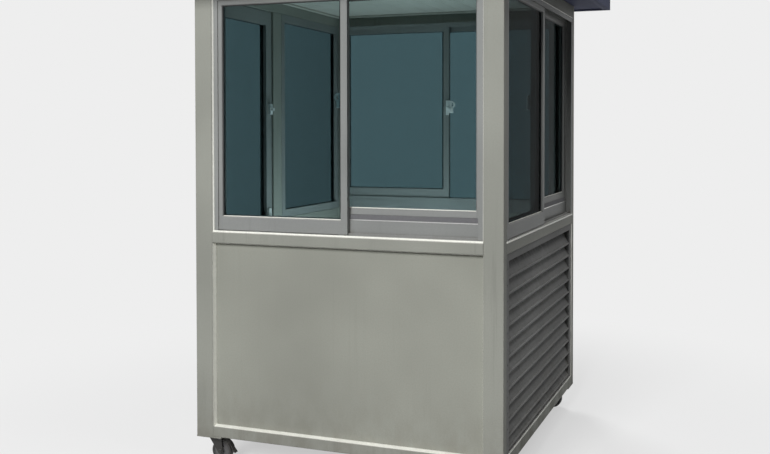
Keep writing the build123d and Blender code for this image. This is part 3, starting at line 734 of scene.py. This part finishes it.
def seal_louvre(bead):
    """Beads along the foot and the rear stile of the louvre frame; their pale sealant also paints the light along
    those edges.
    """
    low, high = wall_box("louvre_frame", "right")
    face, back, width = -HALF_SIDE + 0.4 * MM, low.y + SINK, 0.4 * bead
    foot = bar((low.x, face, low.z - SINK), (high.x, back, low.z + 0.6 * bead))
    side = bar((high.x - width, face, low.z), (high.x + SINK, back, high.z))
    fitted([foot, side], "right", "louvre_seal", "sealant")


class BOOTH_OT_window_seals(AddOperator):
    """Run beads between the window frames, the louvre and the tubes round them"""

    bl_idname = "booth.window_seals"
    bl_label = "Seal Window Frames"

    def execute(self, context):
        bead = size_settings().bead
        for wall in ("front", "rear", "left"):
            seal_recessed_window(wall, bead)
        seal_flush_window()
        seal_louvre(bead)
        return {"FINISHED"}


def meeting_brushes(outer, inner):
    """Two upright strips that close the gap between the overlapping stiles."""
    hand = 1 if outer[0].x < inner[0].x else -1
    half, end = 2 * MM, 4 * MM
    front, back = outer[0].y + SASH - SINK, inner[1].y - SASH + SINK
    foot, top = inner[0].z + end, outer[1].z - end
    for reach in (8 * MM, 20 * MM):
        middle = hand * (OVERLAP - reach)
        yield bar((middle - half, front, foot), (middle + half, back, top), 0.8 * MM, 1)


def head_brush(low, high, rear):
    """A strip along the back of a sash's top rail."""
    end, top, foot, thickness = 6 * MM, 9 * MM, 14 * MM, 1.5 * MM
    return bar((low.x + end, rear - SINK, high.z - foot),
               (high.x - end, rear + thickness, high.z - top), 0.6 * MM, 1)


def foot_brush_and_shade(low, high):
    """A dark pile strip under the nose of an inner sash's bottom rail; it also paints the shade in the gap there.
    """
    face, end, thickness = low.y + RAIL_REBATE, 3 * MM, 2.5 * MM
    return bar((low.x + end, face - thickness, low.z + 10 * MM),
               (high.x - end, face + SINK, low.z + RAIL_STEP - 1 * MM), 0.8 * MM, 1)


class BOOTH_OT_brush_seals(AddOperator):
    """Slide brush seals between the meeting stiles and along the rails of the sashes"""

    bl_idname = "booth.brush_seals"
    bl_label = "Fit Brush Seals"

    def execute(self, context):
        for wall in WINDOWS:
            outer = wall_box(f"{wall}_outer_sash", wall)
            inner = wall_box(f"{wall}_inner_sash", wall)
            strips = list(meeting_brushes(outer, inner))
            strips.append(head_brush(*outer, outer[0].y + SASH))
            strips.append(head_brush(*inner, inner[1].y))
            # The dark strip under the nose is partly painted shade for the gap there.
            strips.append(foot_brush_and_shade(*inner))
            fitted(strips, wall, f"{wall}_brush_seals", "pile")
        return {"FINISHED"}


class BOOTH_OT_track_caps(AddOperator):
    """Clip bright caps onto the divider lips that the inner sashes run behind; they also paint the highlight along
    the lips' top edges
    """

    bl_idname = "booth.track_caps"
    bl_label = "Cap Tracks"

    def execute(self, context):
        end = 10 * MM
        for wall in WINDOWS:
            low, high = wall_box(f"{wall}_window_frame", wall)
            lip, top = low.y + DIVIDER, low.z + DIVIDER_TOP
            made = bar((low.x + end, lip - 2.6 * MM, top - 3 * MM),
                       (high.x - end, lip + 2.2 * MM, top + 1.4 * MM), 0.9 * MM)
            fitted([made], wall, f"{wall}_track_cap", "bright_track")
        return {"FINISHED"}


class BOOTH_OT_glass_beads(AddOperator):
    """Run a thin bead of sealant along the foot of every pane; its pale colour also paints the highlight where the
    rail meets the glass
    """

    bl_idname = "booth.glass_beads"
    bl_label = "Seal Glass"

    def execute(self, context):
        bead, end = 0.5 * size_settings().bead, 1 * MM
        for name, wall, low, high in all_panes():
            front = low.y - HALF_GLASS
            made = bar((low.x + end, front - bead, low.z + 0.4 * MM),
                       (high.x - end, front + PRESS, low.z + bead), 0.35 * bead)
            fitted([made], wall, f"{name}_glass_bead", "sealant")
        return {"FINISHED"}


def crescent_hook(radius, thickness):
    """An open hook that stands on z = 0: a disc, bored through its middle, with one side cut off."""
    made = begin("cylinder", vertices=28, radius=radius, depth=thickness, location=(0, 0, thickness / 2))
    with picked(made, lambda face: abs(face.normal.z) > 0.9):
        bpy.ops.mesh.inset(thickness=0.42 * radius, use_individual=True)
        bpy.ops.mesh.bridge_edge_loops()
        bpy.ops.mesh.select_all(action="SELECT")
        bpy.ops.mesh.bisect(plane_co=(0.45 * radius, 0, 0), plane_no=(1, 0.35, 0),
                            clear_outer=True, use_fill=True)
    return rounded(made, 0.12 * thickness)


class BOOTH_OT_lock_levers(AddOperator):
    """Add the hook and thumb lever that stand out past the stile on each crescent lock"""

    bl_idname = "booth.lock_levers"
    bl_label = "Fit Lock Levers"

    def execute(self, context):
        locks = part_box("window_locks")
        level = (locks[0].z + locks[1].z) / 2
        for wall in WINDOWS:
            low, high = wall_box(f"{wall}_inner_sash", wall)
            edge, back = low.x, high.y
            hook = crescent_hook(21 * MM, 6 * MM)
            hook.data.transform(on_wall("front", (edge - 20 * MM, back + 9 * MM, level + 18 * MM)))
            arm = bar((edge - 24 * MM, back + 4 * MM, level + 2 * MM),
                      (edge + 2 * MM, back + 8 * MM, level + 9 * MM))
            thumb = bar((edge - 31 * MM, back + 3 * MM, level - 30 * MM),
                        (edge - 14 * MM, back + 14 * MM, level + 1 * MM), 2.5 * MM, 3)
            fitted([hook, arm, thumb], wall, f"{wall}_lock_lever", "lock_metal")
        return {"FINISHED"}


class BOOTH_OT_drains(AddOperator):
    """Fit the hooded drain caps along the sills of the recessed windows"""

    bl_idname = "booth.drains"
    bl_label = "Fit Drain Caps"

    def execute(self, context):
        half, proud, foot, top = 15 * MM, 3 * MM, 5 * MM, 11 * MM
        for wall in ("front", "rear"):
            low, high = wall_box(f"{wall}_window_frame", wall)
            hoods = []
            for along in (0.18, 0.5, 0.82):
                middle = low.x + along * (high.x - low.x)
                hoods.append(bar((middle - half, low.y - proud, low.z + foot),
                                 (middle + half, low.y + SINK, low.z + top), 1.2 * MM))
            fitted(hoods, wall, f"{wall}_drain_caps", "sash_metal")
        return {"FINISHED"}


def jamb_screw_places(wall):
    """Four screws up each side channel of a window frame, pointing into the opening."""
    low, high = wall_box(f"{wall}_window_frame", wall)
    inset, y = JAMB - PRESS, high.y - 8 * MM
    for along in (0.12, 0.38, 0.62, 0.88):
        z = low.z + along * (high.z - low.z)
        yield on_wall(wall, (low.x + inset, y, z), 90, "Y")
        yield on_wall(wall, (high.x - inset, y, z), -90, "Y")


def hinge_screw_places():
    """Six screws on each of the three door hinges."""
    low, high = wall_box("door_hinges", "left")
    middle, y = (low.x + high.x) / 2, high.y - 5.2 * MM
    for rise in (0, 0.5, 1):
        z = low.z + HINGE / 2 + rise * (high.z - low.z - HINGE)
        for across in (-20 * MM, 20 * MM):
            for along in (-30 * MM, 0, 30 * MM):
                yield on_wall("left", (middle + across, y, z + along))


class BOOTH_OT_screws(AddOperator):
    """Screw down the window frames and the door hinges"""

    bl_idname = "booth.screws"
    bl_label = "Drive Screws"

    def execute(self, context):
        radius = size_settings().screw
        for wall in WINDOWS:
            heads = copies(domed_head(radius, 2 * MM, recess=True), jamb_screw_places(wall))
            finished(heads, f"{wall}_frame_screws", "zinc")
        heads = copies(domed_head(radius, 1.8 * MM, recess=True), hinge_screw_places())
        finished(heads, "hinge_screws", "zinc")
        return {"FINISHED"}


class BOOTH_OT_louvre_rivets(AddOperator):
    """Rivet the louvre slats to their stiles"""

    bl_idname = "booth.louvre_rivets"
    bl_label = "Rivet Louvres"

    def execute(self, context):
        low, high = wall_box("louvre_frame", "right")
        foot, top = (corner.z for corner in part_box("louvre_blades"))
        inset = 30 * MM
        places = []
        for blade in range(BLADES):
            z = foot + (blade + 0.5) * (top - foot) / BLADES
            for x in (low.x + inset, high.x - inset):
                places.append(on_wall("right", (x, low.y + PRESS, z)))
        heads = copies(domed_head(size_settings().rivet, 1.6 * MM, vertices=12), places)
        finished(heads, "louvre_rivets", "louvre_paint")
        return {"FINISHED"}


def weld_bead(run, width):
    """A rippled bead along z, of the given length, that a corner half hides."""
    made = begin("cylinder", vertices=8, radius=width * 0.6, depth=run)
    ripples = int(run / (0.9 * width))
    with picked(made):
        for index in range(1, ripples):
            bpy.ops.mesh.select_all(action="SELECT")
            bpy.ops.mesh.bisect(plane_co=(0, 0, run * (index / ripples - 0.5)), plane_no=(0, 0, 1))
    for vertex in made.data.vertices:
        index = round((vertex.co.z / run + 0.5) * ripples)
        swell = 1 if index % 2 else 0.72
        if index in (0, ripples):
            swell = 0.45
        vertex.co.x *= swell
        vertex.co.y *= swell
    return made


def frame_weld_places():
    """Where the rails meet the posts: at the sill, the base and the head of every wall."""
    between_wide, between_narrow = HALF_SIDE - TUBE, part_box("front_panel")[1].x
    levels = (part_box("sill_rails")[0].z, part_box("bottom_rails")[1].z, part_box("head_rails")[0].z)
    for wall in WALL_TURN:
        edge = between_narrow if wall in ("front", "rear") else between_wide
        for x in (-edge, edge):
            for z in levels:
                yield on_wall(wall, (x, -HALF_SIDE + TUBE / 2, z))


def gusset_weld_places():
    """Two runs along each inner edge of every corner gusset."""
    inner, z = HALF_SIDE - GUSSET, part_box("caster_gussets")[0].z + 5 * MM
    for sx, sy in DIAGONALS:
        for along in (0.35, 0.8):
            outer = HALF_SIDE - along * GUSSET
            for x, y, axis in ((outer, inner, "Y"), (inner, outer, "X")):
                yield Matrix.Translation((sx * x, sy * y, z)) @ Matrix.Rotation(math.pi / 2, 4, axis)


class BOOTH_OT_welds(AddOperator):
    """Weld the rails to the posts and the corner gussets to the base rails"""

    bl_idname = "booth.welds"
    bl_label = "Weld Frame"

    def execute(self, context):
        width = size_settings().weld
        for name, run, places in (("frame_welds", 46 * MM, frame_weld_places()),
                                  ("gusset_welds", 30 * MM, gusset_weld_places())):
            finished(copies(weld_bead(run, width), places), name, "weld")
        return {"FINISHED"}


def hexagon_bolt(radius, height):
    """A hexagon head on its washer, standing on z = 0."""
    head = domed_head(radius, height, vertices=6)
    head.data.transform(Matrix.Translation((0, 0, 1.2 * MM)))
    washer = begin("cylinder", vertices=20, radius=radius * 1.35, depth=1.4 * MM,
                   location=(0, 0, 0.6 * MM))
    return joined([head, rounded(washer, 0.3 * MM, 1)])


class BOOTH_OT_caster_bolts(AddOperator):
    """Bolt every caster plate to its gusset"""

    bl_idname = "booth.caster_bolts"
    bl_label = "Bolt Casters"

    def execute(self, context):
        out, z = 41 * MM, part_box("caster_plates")[1].z - CASTER_PLATE + PRESS
        upside_down = Matrix.Rotation(math.pi, 4, "X")
        places = []
        for joint in frame["joints"]:
            if not joint["name"].startswith("swivel"):
                continue
            x, y = joint["pos_m"][:2]
            for sx, sy in DIAGONALS:
                places.append(Matrix.Translation((x + sx * out, y + sy * out, z)) @ upside_down)
        bolts = copies(hexagon_bolt(size_settings().bolt, 5 * MM), places)
        finished(bolts, "caster_bolts", "zinc")
        return {"FINISHED"}


def rolling_disc(radius, width):
    """A disc that turns about y."""
    return begin("cylinder", vertices=56, radius=radius, depth=width, rotation=(math.pi / 2, 0, 0))


def tyre(radius, width, depth):
    """A ring of tread: a disc with its end faces inset, opened and bridged."""
    made = rolling_disc(radius, width)
    with picked(made, lambda face: abs(face.normal.y) > 0.9):
        bpy.ops.mesh.inset(thickness=depth, use_individual=True)
        bpy.ops.mesh.bridge_edge_loops()
    return rounded(made, 2.6 * MM, 3)


def wheel_hub(radius, width, boss):
    """A dished web between a narrow rim and a boss with hollow ends."""
    made = rolling_disc(radius, width)
    rim, dish, slope, hollow = 2.5 * MM, 6 * MM, 1.5 * MM, 1 * MM
    for side in (-1, 1):
        with picked(made, lambda face: face.normal.y * side > 0.9 and abs(face.center.y) > width * 0.49):
            step(rim, (0, -side * dish, 0))
            bpy.ops.mesh.inset(thickness=radius - rim - boss - slope)
            step(slope, (0, side * dish, 0))
            step(3 * MM, (0, -side * hollow, 0))
    return rounded(made, 0.5 * MM)


class BOOTH_OT_wheels(AddOperator):
    """Mould the tyre and hub of every caster wheel"""

    bl_idname = "booth.wheels"
    bl_label = "Mould Wheels"

    def execute(self, context):
        for corner in CORNERS:
            node = f"caster_wheel_{corner}"
            low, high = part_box(node)
            radius, width = (high.z - low.z) / 2, high.y - low.y
            tread = tyre(radius, width, TREAD)
            hub = wheel_hub(radius - TREAD + PRESS, width - 1 * MM, 15 * MM)
            for piece in (tread, hub):
                piece.data.transform(Matrix.Translation((low + high) / 2))
            finished(tread, f"tyre_{corner}", "wheel_rubber", f"wheel_{corner}")
            finished(hub, f"hub_{corner}", "hub_plastic", f"wheel_{corner}")
            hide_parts(node)
        return {"FINISHED"}


class BOOTH_OT_roof_trim(AddOperator):
    """Fit the edge trim and the joint strips under the soffit"""

    bl_idname = "booth.roof_trim"
    bl_label = "Trim Roof"

    def execute(self, context):
        low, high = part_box("roof_fascia")
        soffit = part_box("roof_soffit")[0]
        inset, wide, sunk = 18 * MM, 20 * MM, soffit.z + 0.3 * MM
        edge = bar((low.x + wide, low.y + inset, low.z),
                   (high.x - wide, low.y + inset + wide, sunk), 1.5 * MM)
        finished(on_every_wall([edge]), "soffit_edge_trim", "roof_paint")
        half, thickness = 12 * MM, 2 * MM
        strips = []
        for x in (-420 * MM, 420 * MM):
            strips.append(bar((x - half, soffit.y + inset, soffit.z - thickness),
                              (x + half, -HALF_SIDE - 1 * MM, sunk), 0.6 * MM, 1))
        finished(on_every_wall(strips), "soffit_joint_strips", "roof_paint")
        return {"FINISHED"}


class BOOTH_OT_ceiling(AddOperator):
    """Line the ceiling with narrow boards and run a cover strip round them"""

    bl_idname = "booth.ceiling"
    bl_label = "Line Ceiling"

    def execute(self, context):
        inside, under = HALF_SIDE - TUBE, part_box("roof_soffit")[0].z - 0.3 * MM
        boards, gap, thickness = 14, 0.8 * MM, 4 * MM
        pitch = 2 * inside / boards
        lining = []
        for index in range(boards):
            left = index * pitch - inside
            lining.append(bar((left + gap / 2, -inside, under - thickness),
                              (left + pitch - gap / 2, inside, under), 1.5 * MM))
        strip = bar((-inside, -inside, under - 16 * MM), (inside, -inside + 12 * MM, under - 3 * MM),
                    4 * MM, 3)
        lining.append(on_every_wall([strip]))
        finished(joined(lining), "ceiling_lining", "ceiling_board")
        return {"FINISHED"}


class BOOTH_OT_threshold(AddOperator):
    """Lay a ribbed threshold behind the door"""

    bl_idname = "booth.threshold"
    bl_label = "Fit Threshold"

    def execute(self, context):
        low, high = wall_box("door_leaf", "left")
        floor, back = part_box("floor_plate")[1].z, high.y
        pieces = [bar((low.x + 2 * MM, back + 3 * MM, floor - 0.3 * MM),
                      (high.x - 2 * MM, back + 70 * MM, floor + 3 * MM), 1.2 * MM)]
        ribs, pitch, first, width, end = 5, 10 * MM, 14 * MM, 4 * MM, 8 * MM
        for index in range(ribs):
            y = back + first + pitch * index
            pieces.append(bar((low.x + end, y, floor + 2.6 * MM),
                              (high.x - end, y + width, floor + 4.4 * MM), 0.6 * MM, 1))
        fitted(pieces, "left", "door_threshold", "zinc")
        return {"FINISHED"}


# ---- stage -----------------------------------------------------------------------------
LENS, SENSOR = 43.1907, 36
CAMERA_PLACE = (1.76625, -4.4625, 1.57255)
VIEW_YAW, VIEW_PITCH = math.radians(19.58), math.radians(1.334)
SHIFT_X, SHIFT_Y = -0.0649, -0.0982


def add_camera(context):
    data = bpy.data.cameras.new("camera")
    data.sensor_width = SENSOR
    data.lens = LENS
    data.shift_x = SHIFT_X
    data.shift_y = SHIFT_Y
    data.clip_start = 0.05
    camera = bpy.data.objects.new("camera", data)
    context.scene.collection.objects.link(camera)
    camera.location = CAMERA_PLACE
    camera.rotation_euler = (math.pi / 2 - VIEW_PITCH, 0, VIEW_YAW)
    context.scene.camera = camera


def emptied(owner):
    """The graph of a new material or world, without its first nodes."""
    owner.use_nodes = True
    owner.node_tree.nodes.clear()
    return Graph(owner.node_tree)


def show(graph, output, lit, seen):
    """Shade one way for the light in the scene and another way for whoever looks, also through glass."""
    path = graph.add("ShaderNodeLightPath").outputs
    looked_at = graph.math("MAXIMUM", path["Is Camera Ray"], path["Is Glossy Ray"])
    looked_at = graph.math("MAXIMUM", looked_at, path["Is Transmission Ray"])
    shown = graph.add("ShaderNodeMixShader", {0: looked_at, 1: lit, 2: seen})
    graph.feed(graph.add(output), Surface=shown.outputs[0])


def add_floor(brightness):
    """A wide floor that takes the booth's shadow near by and fades into the backdrop further out."""
    floor = begin("grid", x_subdivisions=8, y_subdivisions=8, size=60)
    floor.name = "floor"
    material = bpy.data.materials.new("floor_sweep")
    graph = emptied(material)
    matt = graph.add("ShaderNodeBsdfDiffuse", {"Color": rgba((0.80, 0.80, 0.80))}).outputs[0]
    dim = graph.add("ShaderNodeBsdfDiffuse", {"Color": rgba((0.22, 0.22, 0.22))}).outputs[0]
    pale = graph.add("ShaderNodeEmission", {"Color": rgba((brightness,) * 3)}).outputs[0]
    away = graph.add("ShaderNodeVectorMath", {0: graph.coordinates()}, operation="LENGTH").outputs["Value"]
    fade = graph.ramp(away, 1.2, 3.2, 0.62, 1.0)
    seen = graph.add("ShaderNodeMixShader", {0: fade, 1: matt, 2: pale}).outputs[0]
    show(graph, "ShaderNodeOutputMaterial", dim, seen)
    floor.data.materials.append(material)


def add_world(context, stage):
    world = bpy.data.worlds.new("sky")
    context.scene.world = world
    graph = emptied(world)
    soft = graph.add("ShaderNodeBackground", {"Color": rgba((0.95, 0.98, 1.0)), "Strength": stage.ambient})
    pale = graph.add("ShaderNodeBackground", {"Color": rgba((stage.backdrop,) * 3), "Strength": 1.0})
    show(graph, "ShaderNodeOutputWorld", soft.outputs[0], pale.outputs[0])


def add_lamp(name, place, aim, size, power):
    """A square soft light that metal and glass don't show."""
    data = bpy.data.lights.new(name, "AREA")
    data.shape = "SQUARE"
    data.size = size
    data.energy = power
    lamp = bpy.data.objects.new(name, data)
    bpy.context.scene.collection.objects.link(lamp)
    lamp.location = place
    lamp.rotation_euler = (Vector(aim) - Vector(place)).to_track_quat("-Z", "Y").to_euler()
    lamp.visible_camera = lamp.visible_glossy = lamp.visible_transmission = False


def add_lamps(power):
    """The main light in front, one inside that shines up, one over the louvre side, one behind."""
    add_lamp("key", (0.0, -10.0, 6.5), aim=(0, -0.4, 1.1), size=4.2, power=power)
    add_lamp("room", (0, 0, 0.45), aim=(0, 0, 2.2), size=1.0, power=0.030 * power)
    add_lamp("side", (4.2, -1.0, 8.0), aim=(0.75, 0, 0.8), size=2.2, power=0.086 * power)
    add_lamp("back", (-3.6, 6.2, 4.8), aim=(0, 0.4, 1.2), size=3.0, power=0.32 * power)


class BOOTH_OT_stage(AddOperator):
    """Set the camera, the floor, the lamps and the sky"""

    bl_idname = "booth.stage"
    bl_label = "Set Stage"

    def execute(self, context):
        stage = context.scene.booth_stage
        add_camera(context)
        add_floor(stage.backdrop)
        add_world(context, stage)
        add_lamps(stage.key_power)
        return {"FINISHED"}


# ---- panel and registration ------------------------------------------------------------
class BOOTH_PT_panel(bpy.types.Panel):
    """Sidebar list of the booth's operators and settings"""

    bl_idname = "BOOTH_PT_panel"
    bl_label = "Guard Booth"
    bl_space_type = "VIEW_3D"
    bl_region_type = "UI"
    bl_category = "Booth"

    def draw(self, context):
        for operator in OPERATORS:
            self.layout.operator(operator.bl_idname)
        for name in SETTINGS:
            group = getattr(context.scene, name)
            box = self.layout.box()
            for key in group.bl_rna.properties.keys():
                if key not in {"rna_type", "name"}:
                    box.prop(group, key)


OPERATORS = (
    BOOTH_OT_materials,
    BOOTH_OT_gaskets,
    BOOTH_OT_panel_seals,
    BOOTH_OT_window_seals,
    BOOTH_OT_brush_seals,
    BOOTH_OT_track_caps,
    BOOTH_OT_glass_beads,
    BOOTH_OT_lock_levers,
    BOOTH_OT_drains,
    BOOTH_OT_screws,
    BOOTH_OT_louvre_rivets,
    BOOTH_OT_welds,
    BOOTH_OT_caster_bolts,
    BOOTH_OT_wheels,
    BOOTH_OT_roof_trim,
    BOOTH_OT_ceiling,
    BOOTH_OT_threshold,
    BOOTH_OT_stage,
)
SETTINGS = {"booth_finish": BoothFinish, "booth_sizes": BoothSizes, "booth_stage": BoothStage}


def register():
    for name, group in SETTINGS.items():
        bpy.utils.register_class(group)
        setattr(bpy.types.Scene, name, bpy.props.PointerProperty(type=group))
    for operator in OPERATORS:
        bpy.utils.register_class(operator)
    bpy.utils.register_class(BOOTH_PT_panel)


def unregister():
    bpy.utils.unregister_class(BOOTH_PT_panel)
    for operator in reversed(OPERATORS):
        bpy.utils.unregister_class(operator)
    for name, group in SETTINGS.items():
        delattr(bpy.types.Scene, name)
        bpy.utils.unregister_class(group)


def main():
    register()
    bpy.context.scene.view_settings.view_transform = "Standard"
    for operator in OPERATORS:
        family, name = operator.bl_idname.split(".")
        getattr(getattr(bpy.ops, family), name)()


if __name__ == "__main__":
    main()
